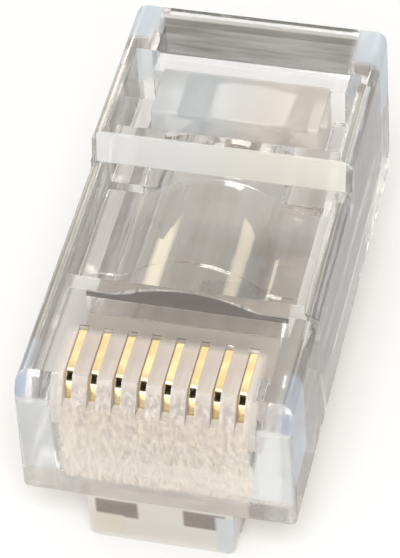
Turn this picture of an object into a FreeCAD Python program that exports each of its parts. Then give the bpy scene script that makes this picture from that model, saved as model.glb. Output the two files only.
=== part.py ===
import FreeCAD, Part
import math
import os

# Modular plug for eight conductors, unloaded and not yet crimped: a clear moulded housing with a
# sprung latch and a jacket clamp, and eight plated blades. Millimetres. X runs across the plug,
# Y runs from the nose to the cable entry, Z points to the contact side. The origin is on the
# underside of the body, at the middle of the nose's lower edge.

# Body
body_width = 11.68
body_length = 21.5
nose_height = 6.6
collar_height = 8.0
collar_length = 8.7
collar_lean = 0.3          # how far the collar's front face leans back over its height
side_draft = 1.2           # degrees, each side
corner_round = 0.55        # long upper edges
foot_round = 0.3           # long lower edges
end_round = 0.25           # upright corners at both ends
bevel_drop = 1.25          # nose bevel, measured down the front face
bevel_run = 0.75           # nose bevel, measured along the top

# Recess between the contact block and the collar, with the arched roof of the cable tunnel
side_wall = 0.81
recess_start = 6.1
recess_depth = 1.6
ridge_crest_drop = 0.2     # crest below the top of the nose
ridge_radius = 4.1
ridge_fillet = 1.2

# Cable tunnel
tunnel_width = 8.6
tunnel_floor = 0.8
tunnel_roof = 0.45         # thickness of the roof over the tunnel
tunnel_front = 6.25
throat_length = 1.85       # front stretch with a thicker roof
throat_drop = 0.22
ramp_length = 3.2
mouth_roof = 1.25          # depth of the crossbar over the cable entry
mouth_flare = 0.45         # chamfer round the cable entry

# Window over the jacket clamp
rim_length = 0.65          # collar wall in front of the window
crossbar_length = 2.85

# Contacts and conductor channels
contact_count = 8
contact_pitch = 1.016
channel_diameter = 0.92
channel_height = 2.72      # centre line above the underside
channel_end = 0.65         # closed end behind the nose
comb_end = 3.6             # the channels open here into one flat wire slot
funnel_length = 0.55       # steep lead-in at the rear of the wire slot
funnel_rise = 0.8
blade_thickness = 0.35
blade_front = 0.64
blade_length = 2.76
crimped_top = 6.02         # top of the blades in a crimped plug
crimp_travel = 0.5         # the blades still stand this much higher
blade_nose_radius = 0.8
blade_heel_radius = 0.2
tooth_count = 3
tooth_height = 0.62
slot_clearance = 0.015     # each side of a blade
slot_end_clearance = 0.05
ledge_height = 5.3         # slots are open to the front above this level

# Latch
latch_width = 6.2
lever_width = 3.25
latch_root = 1.3           # depth of the foot that carries the latch
latch_seam = 0.02          # between the foot and the latch
foot_setback = 0.1
foot_drop = 2.75           # foot below the underside
foot_corner = 0.5
hinge_thickness = 1.0
shoulder_distance = 8.36
shoulder_drop = 3.3        # lowest edge of the shoulders
shoulder_height = 1.5
lever_reach = 14.6
lever_thickness = 1.05
tip_drop = 3.62
tip_round = 0.6
lever_overlap = 1.5        # how far the lever runs into the wide part
pocket_width = 1.5
pocket_height = 0.6
pocket_roof = 0.12
pocket_depth = 0.75
pocket_spread = 1.95       # pocket centre from the middle of the foot

# Jacket clamp
clamp_width = 7.4
clamp_length = 2.95
clamp_top_drop = 0.8       # top of the clamp below the collar
clamp_gap = 0.12
clamp_web = 0.22
clamp_seam = 0.02          # between the web and the crossbar
clamp_foot = 0.2           # clamp's lower edge above the tunnel's side roof
clamp_round = 0.2
clamp_thickness = 0.95     # over the cable
clamp_bow = 3.6            # radius of the hollow under the clamp

overrun = 1.0              # how far cutting tools pass the faces they cut
edge_pick = 0.01           # an edge counts as lying on a face within this distance

half_width = body_width / 2
collar_start = body_length - collar_length
recess_floor = nose_height - recess_depth
ridge_crest = nose_height - ridge_crest_drop
inner_half = half_width - side_wall
window_start = collar_start + collar_lean + rim_length
window_end = body_length - crossbar_length
crossbar_bottom = collar_height - mouth_roof
clamp_top = collar_height - clamp_top_drop
clamp_bottom = recess_floor - tunnel_roof + clamp_foot
blade_top = crimped_top + crimp_travel
clamp_rear = window_end - clamp_gap
clamp_front = clamp_rear - clamp_length


def point(x, y, z):
    return FreeCAD.Vector(x, y, z)


def block(x0, x1, y0, y1, z0, z1):
    return Part.makeBox(x1 - x0, y1 - y0, z1 - z0, point(x0, y0, z0))


def across(profile, half):
    """Solid of a side profile of (y, z) corners, centred on the middle plane."""
    corners = [point(-half, y, z) for y, z in profile]
    face = Part.Face(Part.makePolygon(corners + corners[:1]))
    return face.extrude(point(2 * half, 0, 0))


def along(wire, y0, y1):
    """Solid of a closed wire drawn in the XZ plane, from y0 to y1."""
    shape = Part.Face(wire).extrude(point(0, y1 - y0, 0))
    shape.translate(point(0, y0, 0))
    return shape


def rounded_section(low_half, high_half, bottom, top, low_radius, high_radius):
    """Closed wire in the XZ plane: a drafted section with round corners."""
    corners = [point(-low_half, 0, bottom), point(low_half, 0, bottom),
               point(high_half, 0, top), point(-high_half, 0, top)]
    radii = [low_radius, low_radius, high_radius, high_radius]
    edges = []
    last = None
    first = None
    for i, corner in enumerate(corners):
        before = (corners[i - 1] - corner).normalize()
        after = (corners[(i + 1) % 4] - corner).normalize()
        half_angle = before.getAngle(after) / 2
        reach = radii[i] / math.tan(half_angle)
        start = corner + before * reach
        end = corner + after * reach
        middle = corner + (before + after).normalize() * (radii[i] / math.sin(half_angle) - radii[i])
        if last is None:
            first = start
        else:
            edges.append(Part.makeLine(last, start))
        edges.append(Part.Arc(start, middle, end).toShape())
        last = end
    edges.append(Part.makeLine(last, first))
    return Part.Wire(edges)


def arched_section(half, bottom, shoulder, crest, radius, fillet):
    """Closed wire in the XZ plane: a flat-bottomed section whose top is level at the sides
    and rises through two fillets to an arch in the middle."""
    centre = crest - radius
    fillet_height = shoulder + fillet
    fillet_x = math.sqrt((radius + fillet) ** 2 - (fillet_height - centre) ** 2)
    joint_x = fillet_x * radius / (radius + fillet)
    joint_z = centre + (fillet_height - centre) * radius / (radius + fillet)
    turn = math.atan2(fillet_x, fillet_height - centre) / 2
    edges = [Part.makeLine(point(-half, 0, bottom), point(half, 0, bottom)),
             Part.makeLine(point(half, 0, bottom), point(half, 0, shoulder)),
             Part.makeLine(point(half, 0, shoulder), point(fillet_x, 0, shoulder)),
             fillet_arc(fillet_x, fillet_height, fillet, turn, joint_x, joint_z, shoulder, 1),
             Part.Arc(point(joint_x, 0, joint_z), point(0, 0, crest), point(-joint_x, 0, joint_z)).toShape(),
             fillet_arc(fillet_x, fillet_height, fillet, turn, joint_x, joint_z, shoulder, -1),
             Part.makeLine(point(-fillet_x, 0, shoulder), point(-half, 0, shoulder)),
             Part.makeLine(point(-half, 0, shoulder), point(-half, 0, bottom))]
    return Part.Wire(edges)


def fillet_arc(x, z, radius, turn, joint_x, joint_z, shoulder, side):
    """Arc from the level shoulder up to the arch, on one side."""
    low = point(side * x, 0, shoulder)
    middle = point(side * (x - radius * math.sin(turn)), 0, z - radius * math.cos(turn))
    high = point(side * joint_x, 0, joint_z)
    if side > 0:
        return Part.Arc(low, middle, high).toShape()
    return Part.Arc(high, middle, low).toShape()


def contact_centres():
    first = -(contact_count - 1) / 2 * contact_pitch
    return [first + i * contact_pitch for i in range(contact_count)]


def body_shell():
    """Outside of the body: nose and collar, drafted and rounded, with the nose bevel."""
    slope = math.tan(math.radians(side_draft))
    nose = along(rounded_section(half_width, half_width - nose_height * slope, 0, nose_height,
                                 foot_round, corner_round), 0, body_length)
    collar = along(rounded_section(half_width, half_width - collar_height * slope, 0, collar_height,
                                   foot_round, corner_round), collar_start, body_length)
    lean = across([(collar_start - overrun, nose_height), (collar_start, nose_height),
                   (collar_start + collar_lean, collar_height),
                   (collar_start + collar_lean, collar_height + overrun),
                   (collar_start - overrun, collar_height + overrun)], body_width)
    bevel = across([(-overrun, nose_height - bevel_drop), (0, nose_height - bevel_drop),
                    (bevel_run, nose_height), (bevel_run, nose_height + overrun),
                    (-overrun, nose_height + overrun)], body_width)
    shell = nose.fuse(collar.cut(lean)).removeSplitter().cut(bevel)
    collar_slope = collar_lean / (collar_height - nose_height)
    cutters = []
    for side in (-1, 1):
        cutters.append(corner_cutter(side, -1, 0, 0, 0, nose_height))
        cutters.append(corner_cutter(side, 1, body_length, 0, 0, collar_height + overrun))
        cutters.append(corner_cutter(side, -1, collar_start, collar_slope, nose_height,
                                     collar_height + overrun))
    return shell.cut(cutters)


def corner_cutter(side, end, y, lean, low, high):
    """Tool that rounds one upright corner of the body. Side and end point outwards along X and Y,
    and lean is how far the corner moves along Y for each millimetre of height."""
    slope = math.tan(math.radians(side_draft))
    x = side * (half_width - low * slope)
    inner_x = x - side * end_round
    inner_y = y - end * end_round
    outer_x = x + side * overrun
    outer_y = y + end * overrun
    bend = end_round * (1 - math.sqrt(0.5))
    outline = Part.makePolygon([point(x, inner_y, low), point(outer_x, inner_y, low),
                                point(outer_x, outer_y, low), point(inner_x, outer_y, low),
                                point(inner_x, y, low)]).Edges
    outline.append(Part.Arc(point(inner_x, y, low), point(x - side * bend, y - end * bend, low),
                            point(x, inner_y, low)).toShape())
    face = Part.Face(Part.Wire(Part.__sortEdges__(outline)))
    rise = high - low
    return face.extrude(point(-side * slope * rise, lean * rise, rise))


def recess():
    """Hollow between the contact block and the collar, round the tunnel's arched roof."""
    roof = along(arched_section(inner_half, tunnel_floor, recess_floor, ridge_crest,
                                ridge_radius, ridge_fillet), recess_start, collar_start)
    hollow = block(-inner_half, inner_half, recess_start, collar_start, recess_floor,
                   nose_height + overrun)
    return hollow.cut(roof)


def window():
    """Opening in the collar over the jacket clamp, down to a ledge and through to the tunnel."""
    upper = block(-inner_half, inner_half, window_start, window_end, recess_floor,
                  collar_height + overrun)
    half = clamp_width / 2 + clamp_gap
    passage = block(-half, half, clamp_front - clamp_gap, window_end, tunnel_floor, recess_floor + overrun)
    return upper.fuse(passage)


def tunnel():
    """Cable tunnel with its lower throat, its ramp up to the wire slot and its entry."""
    half = tunnel_width / 2
    throat_end = tunnel_front + throat_length
    inner = tunnel_stretch(tunnel_roof, throat_end, window_end + overrun)
    throat = tunnel_stretch(tunnel_roof + throat_drop, tunnel_front, throat_end)
    mouth = block(-half, half, window_end, body_length + overrun, tunnel_floor, crossbar_bottom)
    ramp_top = channel_height - channel_diameter / 2
    ramp = across([(tunnel_front - overrun, tunnel_floor - overrun), (tunnel_front - overrun, ramp_top),
                   (tunnel_front, ramp_top), (tunnel_front + ramp_length, tunnel_floor),
                   (tunnel_front + ramp_length, tunnel_floor - overrun)], half_width)
    return inner.fuse(throat).cut(ramp).fuse(mouth)


def tunnel_stretch(roof, y0, y1):
    """Stretch of the cable tunnel under a roof of even thickness."""
    return along(arched_section(tunnel_width / 2, tunnel_floor, recess_floor - roof, ridge_crest - roof,
                                ridge_radius - roof, ridge_fillet + roof), y0, y1)


def entry_flare():
    """Chamfer round the cable entry."""
    half = tunnel_width / 2
    inner = [point(-half, 0, tunnel_floor), point(half, 0, tunnel_floor),
             point(half, 0, crossbar_bottom), point(-half, 0, crossbar_bottom)]
    grow = mouth_flare
    outer = [point(-half - grow, 0, tunnel_floor - grow), point(half + grow, 0, tunnel_floor - grow),
             point(half + grow, 0, crossbar_bottom + grow), point(-half - grow, 0, crossbar_bottom + grow)]
    small = Part.makePolygon(inner + inner[:1])
    large = Part.makePolygon(outer + outer[:1])
    small.translate(point(0, body_length - mouth_flare, 0))
    large.translate(point(0, body_length, 0))
    return Part.makeLoft([small, large], True, True)


def channels():
    """Round channels under the blades and the flat wire slot that leads to them."""
    tools = []
    for x in contact_centres():
        tools.append(Part.makeCylinder(channel_diameter / 2, comb_end - channel_end,
                                       point(x, channel_end, channel_height), point(0, 1, 0)))
    half = contact_count * contact_pitch / 2
    low = channel_height - channel_diameter / 2
    high = channel_height + channel_diameter / 2
    rear = tunnel_front + overrun
    tools.append(across([(comb_end, low), (comb_end, high), (tunnel_front - funnel_length, high),
                         (tunnel_front, high + funnel_rise), (rear, high + funnel_rise), (rear, low)], half))
    return tools


def slots():
    """Upright slots for the blades, open to the top and, above a ledge, to the front."""
    half = blade_thickness / 2 + slot_clearance
    front = blade_front - slot_end_clearance
    rear = blade_front + blade_length + slot_end_clearance
    tools = []
    for x in contact_centres():
        deep = block(x - half, x + half, front, rear, channel_height, nose_height + overrun)
        open_front = block(x - half, x + half, -overrun, front + slot_end_clearance, ledge_height,
                           nose_height + overrun)
        tools.append(deep.fuse(open_front))
    return tools


def latch_foot():
    """Foot under the nose that carries the latch, with round lower corners and two pockets."""
    section = rounded_section(latch_width / 2, latch_width / 2, -foot_drop, foot_round + foot_corner,
                              foot_corner, foot_corner)
    foot = along(section, foot_setback, latch_root)
    for side in (-1, 1):
        middle = side * pocket_spread
        foot = foot.cut(block(middle - pocket_width / 2, middle + pocket_width / 2,
                              latch_root - pocket_depth, latch_root,
                              -pocket_roof - pocket_height, -pocket_roof))
    inside = block(-half_width, half_width, 0, body_length, foot_round, collar_height)
    return foot.cut(inside)


def housing():
    shape = body_shell().fuse(latch_foot())
    cuts = [recess(), window(), tunnel(), entry_flare()] + channels() + slots()
    shape = shape.cut(cuts)
    return shape.removeSplitter()


def latch():
    """Sprung latch: a wide part that ends in two shoulders, and a narrow lever."""
    root = latch_root + latch_seam
    wide = across([(root, hinge_thickness - foot_drop),
                   (shoulder_distance, shoulder_height - shoulder_drop),
                   (shoulder_distance, -shoulder_drop), (root, -foot_drop)], latch_width / 2)
    lever = across([(shoulder_distance - lever_overlap, lever_thickness - shoulder_drop),
                    (shoulder_distance, lever_thickness - shoulder_drop),
                    (lever_reach, lever_thickness - tip_drop), (lever_reach, -tip_drop),
                    (shoulder_distance, -shoulder_drop),
                    (shoulder_distance - lever_overlap, lever_thickness / 2 - shoulder_drop)],
                   lever_width / 2)
    tip = [edge for edge in lever.Edges
           if edge.BoundBox.YMin > lever_reach - edge_pick and edge.BoundBox.XLength < edge_pick]
    return wide.fuse(lever.makeFillet(tip_round, tip)).removeSplitter()


def jacket_clamp():
    """Clamp bar over the cable, joined to the crossbar by a thin web at its lower rear edge."""
    bar = block(-clamp_width / 2, clamp_width / 2, clamp_front, clamp_rear, clamp_bottom, clamp_top)
    upper = [edge for edge in bar.Edges
             if edge.BoundBox.ZMin > clamp_top - edge_pick and edge.BoundBox.XLength > edge_pick]
    bar = bar.makeFillet(clamp_round, upper)
    hollow = Part.makeCylinder(clamp_bow, clamp_length + 2 * overrun,
                               point(0, clamp_front - overrun, clamp_top - clamp_thickness - clamp_bow),
                               point(0, 1, 0))
    web = block(-clamp_width / 2, clamp_width / 2, clamp_rear - overrun, window_end - clamp_seam,
                crossbar_bottom, crossbar_bottom + clamp_web)
    return bar.fuse(web).cut(hollow).removeSplitter()


def blade(x):
    """Contact blade with a round nose and piercing teeth."""
    front = blade_front
    rear = blade_front + blade_length
    root = channel_height + channel_diameter / 2 + tooth_height
    tip = channel_height + channel_diameter / 2
    nose = blade_nose_radius
    heel = blade_heel_radius
    bend = math.sqrt(0.5)
    edges = [Part.makeLine(point(0, front, root), point(0, front, blade_top - nose)),
             Part.Arc(point(0, front, blade_top - nose),
                      point(0, front + nose * (1 - bend), blade_top - nose * (1 - bend)),
                      point(0, front + nose, blade_top)).toShape(),
             Part.makeLine(point(0, front + nose, blade_top), point(0, rear - heel, blade_top)),
             Part.Arc(point(0, rear - heel, blade_top),
                      point(0, rear - heel * (1 - bend), blade_top - heel * (1 - bend)),
                      point(0, rear, blade_top - heel)).toShape()]
    teeth = [point(0, rear, blade_top - heel), point(0, rear, root)]
    step = blade_length / tooth_count
    for i in range(tooth_count):
        teeth.append(point(0, rear - (i + 0.5) * step, tip))
        teeth.append(point(0, rear - (i + 1) * step, root))
    edges += Part.makePolygon(teeth).Edges
    shape = Part.Face(Part.Wire(Part.__sortEdges__(edges))).extrude(point(blade_thickness, 0, 0))
    shape.translate(point(x - blade_thickness / 2, 0, 0))
    return shape


def write(name, shape):
    shape.exportStep("parts/%s.step" % name)
    print(name, len(shape.Solids), shape.isValid(), round(shape.Volume, 3), len(shape.Faces))


os.makedirs("parts", exist_ok=True)
write("housing", housing())
write("latch", latch())
write("jacket_clamp", jacket_clamp())
for number, centre in enumerate(contact_centres(), 1):
    write("contact_%d" % number, blade(centre))
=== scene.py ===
import math

import bpy
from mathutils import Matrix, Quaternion, Vector


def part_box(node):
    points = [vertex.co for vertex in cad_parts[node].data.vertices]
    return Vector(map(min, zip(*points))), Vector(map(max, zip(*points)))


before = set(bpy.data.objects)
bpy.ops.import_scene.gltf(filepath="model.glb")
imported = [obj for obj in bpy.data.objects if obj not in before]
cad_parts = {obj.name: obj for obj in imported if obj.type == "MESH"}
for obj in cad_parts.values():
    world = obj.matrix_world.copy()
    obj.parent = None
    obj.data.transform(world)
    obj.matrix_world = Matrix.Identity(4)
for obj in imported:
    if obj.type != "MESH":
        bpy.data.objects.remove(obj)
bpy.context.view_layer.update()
mm = 0.001


def addNode(tree, kind, inputs, **settings):
    # inputs go by name or number, and one that comes from another node is linked
    node = tree.nodes.new(kind)
    for name, value in settings.items():
        setattr(node, name, value)
    for name, value in inputs.items():
        if isinstance(value, bpy.types.NodeSocket):
            tree.links.new(value, node.inputs[name])
        else:
            node.inputs[name].default_value = value
    return node


def mathNode(tree, operation, first, second=0.0, third=0.0):
    inputs = {0: first, 1: second, 2: third}
    return addNode(tree, "ShaderNodeMath", inputs, operation=operation).outputs[0]


def spread(tree, value, span, least, most, **settings):
    # the span's low end becomes least and its high end most
    inputs = {"Value": value, "From Min": span[0], "From Max": span[1], "To Min": least, "To Max": most}
    return addNode(tree, "ShaderNodeMapRange", inputs, **settings).outputs["Result"]


def smoothBand(tree, value, low, high):
    # 0 below low, 1 above high, smooth between
    return spread(tree, value, (low, high), 0.0, 1.0, interpolation_type="SMOOTHSTEP")


def mixColour(tree, share, first, second):
    inputs = {0: share, 6: first, 7: second}       # a colour mix has its colours at 6 and 7
    return addNode(tree, "ShaderNodeMix", inputs, data_type="RGBA").outputs[2]


def mixShader(tree, share, first, second):
    return addNode(tree, "ShaderNodeMixShader", {0: share, 1: first, 2: second}).outputs[0]


def shader(tree, kind, inputs):
    return addNode(tree, "ShaderNode" + kind, inputs).outputs[0]


def noise(tree, place, look):
    # a stretch below 1 draws the pattern out along that axis
    if "stretch" in look:
        inputs = {"Vector": place, "Scale": look["stretch"]}
        place = addNode(tree, "ShaderNodeMapping", inputs).outputs["Vector"]
    inputs = {"Vector": place, "Scale": look["scale"], "Detail": look["detail"],
              "Roughness": look["roughness"]}
    return addNode(tree, "ShaderNodeTexNoise", inputs).outputs["Fac"]


def bump(tree, height, depth, strength, **normal):
    inputs = {"Height": height, "Distance": depth, "Strength": strength, **normal}
    return addNode(tree, "ShaderNodeBump", inputs).outputs["Normal"]


def newMaterial(name):
    material = bpy.data.materials.new(name)
    material.use_nodes = True
    material.node_tree.nodes.clear()
    return material, material.node_tree


print("scene: materials")

clearPlastic = {
    "tint": (0.93, 0.925, 0.915, 1.0),
    "refraction": 1.585,
    "roughness": (0.012, 0.042),         # of the polished faces, between the flow marks and on them
    "bodyColour": (0.88, 0.86, 0.82, 1.0),
    "bodyDensity": 45.0,
    "shadowColour": (0.66, 0.63, 0.60, 1.0),
    "milkColour": (0.9, 0.88, 0.85, 1.0),
    "milkThrough": 0.35,                 # share of the milky plastic's light that passes through
    "grainyMilk": (0.4, 1.45),           # how far the grain thins and thickens the milk
    # painted reflections: a place's own colour stands for a bluish window, its right-hand colour for a warm
    # lamp
    "toRightReflection": 2.0 * mm,                 # over this far each side of the middle, rightReflection takes over
    "grainBump": {"depth": 0.05 * mm, "strength": 0.6},
    "pourBump": {"depth": 0.05 * mm, "strength": 0.5},
    "flowBump": {"depth": 0.2 * mm, "strength": 0.05},
}

# patterns in the plastic, which also break up the painted shades; span is the part of the noise that
# counts, and least what is left of a tint where the pattern is weakest
plasticPatterns = {
    "flow": {"scale": 420.0, "detail": 3.0, "roughness": 0.55, "span": (0.35, 0.7)},
    "grain": {"scale": 5200.0, "detail": 4.0, "roughness": 0.6, "span": (0.33, 0.67),
              "stretch": (1.0, 1.0, 0.4)},
    "streaks": {"scale": 1500.0, "detail": 3.0, "roughness": 0.6, "span": (0.35, 0.65), "least": 0.85,
                "stretch": (0.12, 1.0, 1.0)},
    "pour": {"scale": 900.0, "detail": 3.0, "roughness": 0.6, "span": (0.35, 0.65), "least": 0.0,
             "stretch": (1.0, 0.14, 0.5)},
    "marks": {"scale": 1300.0, "detail": 1.0, "roughness": 0.4, "span": (0.35, 0.65), "least": 0.0,
              "stretch": (0.6, 1.0, 1.0)},
}

# where the mould was left rough or the plastic is hazy, and where shade or reflections are painted
# into the plastic, as each place says: the low and high X, Y and Z of a box in millimetres (None is
# open, and a mirrored box stands on both sides), its soft edge, the roughness added there, the share
# of milky plastic and its colour, and a tint on what shows through, which fades by the pattern in lines
hazeAndPaintedLight = {
    # painted shade: grey milk and a dark tint on the side faces, in pour streaks
    "sideFaceShade": {"box": (5.3, None, None, None, 0.4, 7.6), "mirrored": True, "edge": 0.1, "rough": 0.03,
                  "milk": 0.34, "colour": (0.42, 0.405, 0.395), "tint": (0.26, 0.26, 0.28),
                  "lines": "pour"},
    # painted reflection: pale blue milk on the rear corners, with a little real haze
    "rearCornerReflection": {"box": (4.7, None, 19.6, None, 5.0, None), "mirrored": True, "edge": 0.5, "rough": 0.1,
                    "milk": 0.56, "colour": (0.78, 0.89, 1.0)},
    # painted reflection: blue milk on the nose's side corners
    "noseCornerReflection": {"box": (5.2, None, -1, 2.2, 2.5, 6.6), "mirrored": True, "edge": 0.4, "rough": 0.05,
                    "milk": 0.16, "colour": (0.66, 0.80, 1.0)},
    # rough hazy ends of the nose front; the pale blue of their milk is a painted reflection
    "noseEndHazeAndReflection": {"box": (4.35, None, -1, 0.06, 0.3, 5.5), "mirrored": True, "edge": 0.2, "rough": 0.14,
                 "milk": 0.44, "colour": (0.90, 0.95, 0.98)},
    # hazy, and darker towards the bottom of the nose front: grey milk and a tint that dims what shows
    # through, in marks
    "noseFoot": {"box": (None, None, -1, 0.06, 0.0, 1.2), "edge": 0.3, "rough": 0.10,
                 "milk": 0.34, "colour": (0.90, 0.87, 0.83), "tint": (0.50, 0.46, 0.46),
                 "lines": "marks"},
    "combWalls": {"box": (-4.2, 4.2, -1, 3.5, 4.4, 6.5), "edge": 0.09, "rough": 0.34,
                  "milk": 0.45, "colour": (1.0, 0.92, 0.85)},
    "combTop": {"box": (-3.8, 3.8, 0.7, 2.9, 6.4, None), "edge": 0.5, "rough": 0.10,
                "milk": 0.70, "colour": (1.0, 0.89, 0.80)},
    "noseBevel": {"box": (-3.9, 3.9, -1, 0.8, 5.2, None), "edge": 0.15, "rough": 0.30,
                  "milk": 0.64, "colour": (1.0, 0.93, 0.87), "grainy": True},
    "noseFront": {"box": (-3.8, 3.8, -1, 0.06, 1.2, 5.3), "edge": 0.35, "rough": 0.35,
                  "milk": 0.74, "colour": (1.0, 0.93, 0.83), "grainy": True},
    "footSkin": {"box": (None, None, None, 1.5, -3, -0.1), "edge": 0.2, "rough": 0.05,
                 "milk": 0.60, "colour": (1.0, 0.99, 0.96), "tint": (0.80, 0.78, 0.76),
                 "lines": "marks"},
    # painted shade: dark grainy milk in the foot's pockets
    "footPocketShade": {"box": (1.05, 2.70, -1, 0.3, -1.20, -0.35), "mirrored": True, "edge": 0.16,
                    "milk": 0.50, "colour": (0.24, 0.21, 0.20), "grainy": True},
    "footGleam": {"box": (-2.9, -1.7, -1, 0.3, -2.30, -1.3), "edge": 0.22,
                  "milk": 0.62, "colour": (1.0, 0.93, 0.80)},
    # painted reflection: pale blue milk along the foot's right edge
    "footEdgeReflection": {"box": (2.45, 3.3, -1, 0.3, -2.6, -0.5), "edge": 0.2,
                 "milk": 0.60, "colour": (0.84, 0.92, 1.0)},
    "noseShade": {"box": (3.9, 5.4, -1, 0.06, 0.1, 1.0), "edge": 0.15,
                  "milk": 0.40, "colour": (0.42, 0.41, 0.41)},
    # painted shade: a dark milky sheet on the tunnel's front wall
    "tunnelEndShade": {"box": (-4.4, 4.4, 6.18, 6.32, 3.97, 5.9), "edge": 0.02, "rough": 0.05,
                  "milk": 0.88, "colour": (0.20, 0.19, 0.20)},
    # painted shade: a grey-brown tint on the funnel, in streaks
    "funnelShade": {"box": (-4.4, 4.4, 5.6, 6.18, 3.15, 3.97), "edge": 0.02, "rough": 0.15,
               "tint": (0.76, 0.71, 0.70), "lines": "streaks"},
    "wireSlot": {"box": (-4.2, 4.2, 3.5, 5.65, 2.1, 3.3), "edge": 0.1, "rough": 0.12,
                 "milk": 0.76, "colour": (1.0, 0.95, 0.91)},
    # painted shade: a thin dark line along the arch's crease
    "archCreaseShade": {"box": (-5.1, 5.1, 6.12, 6.20, 4.95, 6.5), "edge": 0.04,
                   "milk": 0.70, "colour": (0.17, 0.14, 0.13)},
    # painted shade: a warm grey tint on the recess roof, in pour streaks
    "recessRoofShade": {"box": (-5.1, 5.1, 6.3, 12.7, 4.9, 6.5), "edge": 0.1, "rough": 0.02,
                   "tint": (0.78, 0.75, 0.69), "lines": "pour"},
    # painted shade: a nearly black tint on the cable entry's roof, in streaks
    "entryRoofShade": {"box": (-4.4, 4.4, 18.85, None, 6.5, 7.0), "edge": 0.1, "rough": 0.04,
                  "tint": (0.030, 0.025, 0.021), "lines": "streaks"},
    # painted reflection: the collar's front face is milky, pale blue on the left and cream on the right
    "collarFrontReflection": {"box": (-5.4, 5.4, 12.7, 13.2, 6.65, 8.1), "edge": 0.08, "rough": 0.08,
                    "milk": 0.78, "colour": (0.96, 0.99, 1.0), "rightReflection": (1.0, 0.99, 0.92)},
    # painted reflection: pale blue milk on the clamp bar's left, cream on its right
    "clampBarReflection": {"box": (-3.8, 3.8, 15.4, 18.6, 4.5, 7.4), "edge": 0.1, "rough": 0.10,
                 "milk": 0.34, "colour": (0.86, 0.94, 1.0), "rightReflection": (1.0, 0.94, 0.86)},
}


def inBox(tree, axes, spot):
    # 1 inside the spot's box, 0 outside, soft over its edge
    corners = spot["box"]
    ranges = list(zip(axes, corners[::2], corners[1::2]))
    if "mirrored" in spot:
        ranges[0] = (mathNode(tree, "ABSOLUTE", axes[0]), corners[0], corners[1])
    mask = None
    for axis, low, high in ranges:
        for limit, side in ((low, -1), (high, 1)):
            if limit is None:
                continue
            start, end = limit * mm, (limit + side * spot["edge"]) * mm
            step = smoothBand(tree, axis, min(start, end), max(start, end))
            step = step if side < 0 else mathNode(tree, "SUBTRACT", 1.0, step)
            mask = step if mask is None else mathNode(tree, "MULTIPLY", mask, step)
    return mask


def layHazeAndPaintedLight(tree, place, patterns, roughness):
    # lays the hazy places, painted shades and painted reflections over the plain plastic, each over the
    # ones before it
    s = clearPlastic
    axes = list(addNode(tree, "ShaderNodeSeparateXYZ", {"Vector": place}).outputs)
    toRightReflection = smoothBand(tree, axes[0], -s["toRightReflection"], s["toRightReflection"])
    hazeAndPaint = {"roughness": roughness, "tint": s["tint"], "milk": 0.0, "colour": s["milkColour"],
            "grainy": 0.0, "poured": 0.0}
    for spot in hazeAndPaintedLight.values():
        mask = inBox(tree, axes, spot)
        if "rough" in spot:
            hazeAndPaint["roughness"] = mathNode(tree, "MULTIPLY_ADD", mask, spot["rough"], hazeAndPaint["roughness"])
        if "milk" in spot:
            milk = spot["milk"]
            if "grainy" in spot:
                thin, thick = (min(milk * factor, 1.0) for factor in s["grainyMilk"])
                milk = spread(tree, patterns["grain"], plasticPatterns["grain"]["span"], thin, thick)
                hazeAndPaint["grainy"] = mathNode(tree, "MAXIMUM", hazeAndPaint["grainy"], mask)
            hazeAndPaint["milk"] = mathNode(tree, "MAXIMUM", hazeAndPaint["milk"], mathNode(tree, "MULTIPLY", mask, milk))
            colour = spot["colour"] + (1.0,)
            # painted reflection: the colour turns from the left-hand one to the right-hand one across the
            # middle
            if "rightReflection" in spot:
                colour = mixColour(tree, toRightReflection, colour, spot["rightReflection"] + (1.0,))
            hazeAndPaint["colour"] = mixColour(tree, mask, hazeAndPaint["colour"], colour)
        if "tint" in spot:
            look = plasticPatterns[spot["lines"]]
            fade = spread(tree, patterns[spot["lines"]], look["span"], look["least"], 1.0)
            share = mathNode(tree, "MULTIPLY", mask, fade)
            hazeAndPaint["tint"] = mixColour(tree, share, hazeAndPaint["tint"], spot["tint"] + (1.0,))
            if spot["lines"] == "pour":
                hazeAndPaint["poured"] = mathNode(tree, "MAXIMUM", hazeAndPaint["poured"], mask)
    return hazeAndPaint


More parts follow.
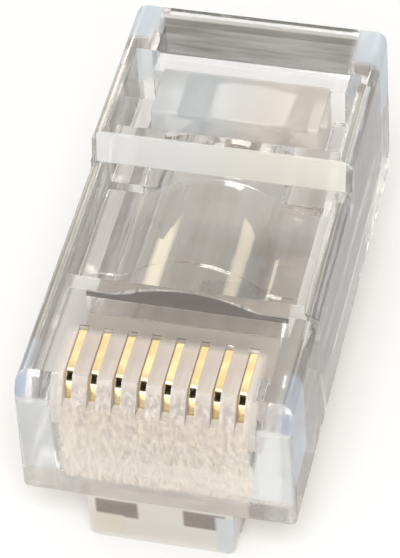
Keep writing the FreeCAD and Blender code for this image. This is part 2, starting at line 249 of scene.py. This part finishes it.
def makeClearPlastic():
    material, tree = newMaterial("clearPlastic")
    s = clearPlastic
    place = addNode(tree, "ShaderNodeTexCoord", {}).outputs["Object"]
    patterns = {name: noise(tree, place, look) for name, look in plasticPatterns.items()}
    roughness = spread(tree, patterns["flow"], plasticPatterns["flow"]["span"], *s["roughness"])
    hazeAndPaint = layHazeAndPaintedLight(tree, place, patterns, roughness)
    # the rough places carry a strong bump, and the flow marks a faint one everywhere
    grainStrength = mathNode(tree, "MULTIPLY", hazeAndPaint["grainy"], s["grainBump"]["strength"])
    pourStrength = mathNode(tree, "MULTIPLY", hazeAndPaint["poured"], s["pourBump"]["strength"])
    grained = bump(tree, patterns["grain"], s["grainBump"]["depth"], grainStrength)
    poured = bump(tree, patterns["pour"], s["pourBump"]["depth"], pourStrength, Normal=grained)
    flowed = bump(tree, patterns["flow"], s["flowBump"]["depth"], s["flowBump"]["strength"], Normal=poured)
    clear = shader(tree, "BsdfPrincipled", {"Base Color": hazeAndPaint["tint"], "Roughness": hazeAndPaint["roughness"],
                                            "Normal": flowed, "IOR": s["refraction"],
                                            "Transmission Weight": 1.0})
    front = shader(tree, "BsdfDiffuse", {"Color": hazeAndPaint["colour"], "Normal": grained})
    through = shader(tree, "BsdfTranslucent", {"Color": hazeAndPaint["colour"]})
    milky = mixShader(tree, s["milkThrough"], front, through)
    surface = mixShader(tree, hazeAndPaint["milk"], clear, milky)
    # lamps and soft light pass straight through, so the plug's shadow stays pale
    rays = addNode(tree, "ShaderNodeLightPath", {}).outputs
    softRay = mathNode(tree, "MAXIMUM", rays["Is Shadow Ray"], rays["Is Diffuse Ray"])
    pale = shader(tree, "BsdfTransparent", {"Color": s["shadowColour"]})
    body = shader(tree, "VolumeAbsorption", {"Color": s["bodyColour"], "Density": s["bodyDensity"]})
    addNode(tree, "ShaderNodeOutputMaterial", {"Surface": mixShader(tree, softRay, surface, pale),
                                               "Volume": body})
    return material


goldPlating = {
    "bright": (0.90, 0.81, 0.50, 1.0),
    "deep": (0.82, 0.66, 0.38, 1.0),
    # painted shade along a blade's outer edges
    "edge": (0.50, 0.38, 0.22, 1.0),
    "roughness": (0.09, 0.24),           # between the brush lines and on them
    "patches": {"scale": 900.0, "detail": 2.0, "roughness": 0.5, "span": (0.38, 0.62)},
    "brushing": {"scale": 9000.0, "detail": 3.0, "roughness": 0.5, "span": (0.0, 1.0),
                 "stretch": (1.0, 0.12, 1.0)},
    "brushBump": {"depth": 0.01 * mm, "strength": 0.05},
    "crown": 0.40,                       # how far the worn edges of a blade turn the light
    "crownPower": 3.0,                   # a higher one keeps the middle flatter
    "edgeShadeStart": 0.55,                   # where on the crown the edge colour begins
    "pitch": 1.016 * mm,
    "thickness": 0.35 * mm,
}


def makeGoldPlating():
    material, tree = newMaterial("goldPlating")
    s = goldPlating
    place = addNode(tree, "ShaderNodeTexCoord", {}).outputs["Object"]
    patch = smoothBand(tree, noise(tree, place, s["patches"]), *s["patches"]["span"])
    colour = mixColour(tree, patch, s["bright"], s["deep"])
    lines = noise(tree, place, s["brushing"])
    roughness = spread(tree, lines, s["brushing"]["span"], *s["roughness"])
    # a blade's stamped edges fall away slightly on both sides of its middle
    across = addNode(tree, "ShaderNodeSeparateXYZ", {"Vector": place}).outputs["X"]
    turns = mathNode(tree, "DIVIDE", across, s["pitch"])
    local = mathNode(tree, "SUBTRACT", mathNode(tree, "FRACT", turns), 0.5)
    side = mathNode(tree, "MULTIPLY", local, 2 * s["pitch"] / s["thickness"])
    outer = mathNode(tree, "POWER", mathNode(tree, "ABSOLUTE", side), s["crownPower"])
    tilt = mathNode(tree, "MULTIPLY", mathNode(tree, "MULTIPLY", side, outer), s["crown"])
    # painted shade: the outer part of the crown takes the darker edge colour
    colour = mixColour(tree, smoothBand(tree, outer, s["edgeShadeStart"], 1.0), colour, s["edge"])
    lean = addNode(tree, "ShaderNodeCombineXYZ", {"X": tilt}).outputs[0]
    normal = addNode(tree, "ShaderNodeNewGeometry", {}).outputs["Normal"]
    turned = addNode(tree, "ShaderNodeVectorMath", {0: normal, 1: lean}, operation="ADD").outputs[0]
    turned = addNode(tree, "ShaderNodeVectorMath", {0: turned}, operation="NORMALIZE").outputs[0]
    brushed = bump(tree, lines, s["brushBump"]["depth"], s["brushBump"]["strength"], Normal=turned)
    skin = shader(tree, "BsdfPrincipled", {"Base Color": colour, "Roughness": roughness,
                                           "Metallic": 1.0, "Normal": brushed})
    addNode(tree, "ShaderNodeOutputMaterial", {"Surface": skin})
    return material


def paint(node, material):
    node.data.materials.clear()
    node.data.materials.append(material)


plasticSkin = makeClearPlastic()
goldSkin = makeGoldPlating()
for name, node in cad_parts.items():
    paint(node, goldSkin if name.startswith("contact") else plasticSkin)

print("scene: room")

room = {
    "backdrop": (1.0, 1.0, 1.0, 1.0),
    "daylight": (1.0, 0.99, 0.97, 1.0),  # on the matt faces
    "daylightStrength": 0.5,
}

# what stands in the room, each in front of those above it: which way it lies, how many degrees from
# there it is still full and where it ends, and its colour. The screen is a bright sheet round the dark
# shape of the operator, who leans over the table.
roomThings = {
    "farWall": {"towards": (0.18, 0.66, 0.73), "full": 14, "end": 34, "colour": (1.25, 1.2, 1.05, 1.0)},
    "lamp": {"towards": (-0.8, 0.4, 0.5), "full": 12, "end": 30, "colour": (1.0, 0.90, 0.62, 1.0)},
    "window": {"towards": (0.75, 0.75, 0.45), "full": 14, "end": 32, "colour": (0.62, 0.80, 1.0, 1.0)},
    "screen": {"towards": (-0.186, -0.663, 0.726), "full": 37, "end": 50,
               "colour": (2.6, 2.6, 2.9, 1.0), "mirroredOnly": True},
    "operator": {"towards": (-0.186, -0.663, 0.726), "full": 29, "end": 33,
                 "colour": (0.01, 0.01, 0.012, 1.0), "mirroredOnly": True},
    "leftStrip": {"towards": (-0.65, 0.66, 0.37), "full": 1, "end": 11,
                  "colour": (6.2, 5.5, 3.9, 1.0), "mirroredOnly": True},
    "rightStrip": {"towards": (0.45, 0.66, 0.60), "full": 1, "end": 8,
                   "colour": (6.2, 5.5, 3.9, 1.0), "mirroredOnly": True},
}


def nearDirection(tree, direction, thing):
    # 1 where the thing is full, 0 from its end on
    towards = tuple(Vector(thing["towards"]).normalized())
    dot = addNode(tree, "ShaderNodeVectorMath", {0: direction, 1: towards}, operation="DOT_PRODUCT")
    end, full = (math.cos(math.radians(thing[angle])) for angle in ("end", "full"))
    return smoothBand(tree, dot.outputs["Value"], end, full)


def makeWorld():
    world = bpy.data.worlds.new("room")
    bpy.context.scene.world = world
    world.use_nodes = True
    tree = world.node_tree
    tree.nodes.clear()
    direction = addNode(tree, "ShaderNodeTexCoord", {}).outputs["Generated"]
    rays = addNode(tree, "ShaderNodeLightPath", {}).outputs
    outside = mathNode(tree, "SUBTRACT", 1.0, rays["Is Transmission Ray"])
    mirrored = mathNode(tree, "MULTIPLY", rays["Is Glossy Ray"], outside)
    colour = room["backdrop"]
    for thing in roomThings.values():
        share = nearDirection(tree, direction, thing)
        if "mirroredOnly" in thing:
            share = mathNode(tree, "MULTIPLY", share, mirrored)
        colour = mixColour(tree, share, colour, thing["colour"])
    things = shader(tree, "Background", {"Color": colour, "Strength": 1.0})
    daylight = shader(tree, "Background", {"Color": room["daylight"], "Strength": room["daylightStrength"]})
    white = shader(tree, "Background", {"Color": room["backdrop"], "Strength": 1.0})
    # the camera and what shows through the plastic meet the plain backdrop
    plain = mathNode(tree, "MAXIMUM", rays["Is Camera Ray"], rays["Is Transmission Ray"])
    lit = mixShader(tree, rays["Is Diffuse Ray"], things, daylight)
    addNode(tree, "ShaderNodeOutputWorld", {"Surface": mixShader(tree, plain, lit, white)})


floorSettings = {
    "size": 0.6,                         # metres
    "footRest": 0.6 * mm,                # how far behind the nose the foot touches the table
    "albedo": (0.80, 0.78, 0.75, 1.0),   # for the soft light that the table sends back
    "paper": (0.94, 0.94, 0.94, 1.0),    # for the camera, the gold and the plastic
    "glow": 0.06,                        # brings that paper up to white
}


def makeFloor():
    # the plug lies on its foot and the end of its lever, so the table leans to meet both
    s = floorSettings
    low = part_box("latch")[0]
    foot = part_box("housing")[0]
    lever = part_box("latch")[1]
    slope = (low[2] - foot[2]) / (lever[1] - s["footRest"])
    level = foot[2] - slope * s["footRest"]
    half = s["size"] / 2
    outline = ((-half, -half), (half, -half), (half, half), (-half, half))
    mesh = bpy.data.meshes.new("table")
    mesh.from_pydata([(x, y, level + slope * y) for x, y in outline], [], [(0, 1, 2, 3)])
    floor = bpy.data.objects.new("table", mesh)
    bpy.context.scene.collection.objects.link(floor)
    material, tree = newMaterial("tableTop")
    rays = addNode(tree, "ShaderNodeLightPath", {}).outputs
    mirrored = mathNode(tree, "MAXIMUM", rays["Is Glossy Ray"], rays["Is Transmission Ray"])
    seen = mathNode(tree, "MAXIMUM", rays["Is Camera Ray"], mirrored)
    matt = shader(tree, "BsdfDiffuse", {"Color": s["albedo"]})
    paper = shader(tree, "BsdfDiffuse", {"Color": s["paper"]})
    glow = shader(tree, "Emission", {"Color": (1.0, 1.0, 1.0, 1.0), "Strength": s["glow"]})
    white = shader(tree, "AddShader", {0: paper, 1: glow})
    addNode(tree, "ShaderNodeOutputMaterial", {"Surface": mixShader(tree, seen, matt, white)})
    mesh.materials.append(material)


lampSettings = {
    "place": (0.03, -0.13, 0.20),        # metres
    "aim": (0.0, 0.010, 0.003),
    "size": (0.12, 0.12),
    "watts": 0.52,
    "colour": (1.0, 0.98, 0.95),
}


def makeLamp():
    s = lampSettings
    data = bpy.data.lights.new("overhead", "AREA")
    data.shape = "RECTANGLE"
    data.size, data.size_y = s["size"]
    data.energy = s["watts"]
    data.color = s["colour"]
    lamp = bpy.data.objects.new("overhead", data)
    lamp.location = s["place"]
    lamp.rotation_mode = "QUATERNION"
    lamp.rotation_quaternion = (Vector(s["aim"]) - Vector(s["place"])).to_track_quat("-Z", "Y")
    lamp.visible_glossy = False          # the gold shows the room, not the lamp
    bpy.context.scene.collection.objects.link(lamp)


cameraSettings = {
    "aim": (0.46 * mm, 6.94 * mm, 6.46 * mm),
    "towards": (0.18569, -0.66265, 0.72555),   # from the aim back to the camera
    "distance": 118.0 * mm,
    "roll": -3.81,                       # degrees
    "lens": 184.58,
    "sensor": 36.0,
    "clip": (0.005, 5.0),                # metres, near and far
}


def makeCamera():
    s = cameraSettings
    data = bpy.data.cameras.new("camera")
    data.sensor_width = s["sensor"]
    data.lens = s["lens"]
    data.clip_start, data.clip_end = s["clip"]
    camera = bpy.data.objects.new("camera", data)
    back = Vector(s["towards"]).normalized()
    camera.location = Vector(s["aim"]) + back * s["distance"]
    camera.rotation_mode = "QUATERNION"
    roll = Quaternion((0, 0, 1), math.radians(s["roll"]))
    camera.rotation_quaternion = (-back).to_track_quat("-Z", "Y") @ roll
    bpy.context.scene.collection.objects.link(camera)
    bpy.context.scene.camera = camera


makeWorld()
makeFloor()
makeLamp()
makeCamera()

print("scene: settings")

scene = bpy.context.scene
scene.view_settings.view_transform = "Standard"
scene.cycles.max_bounces = 28
scene.cycles.transmission_bounces = 24
scene.cycles.glossy_bounces = 16
scene.cycles.transparent_max_bounces = 32
scene.cycles.use_denoising = True
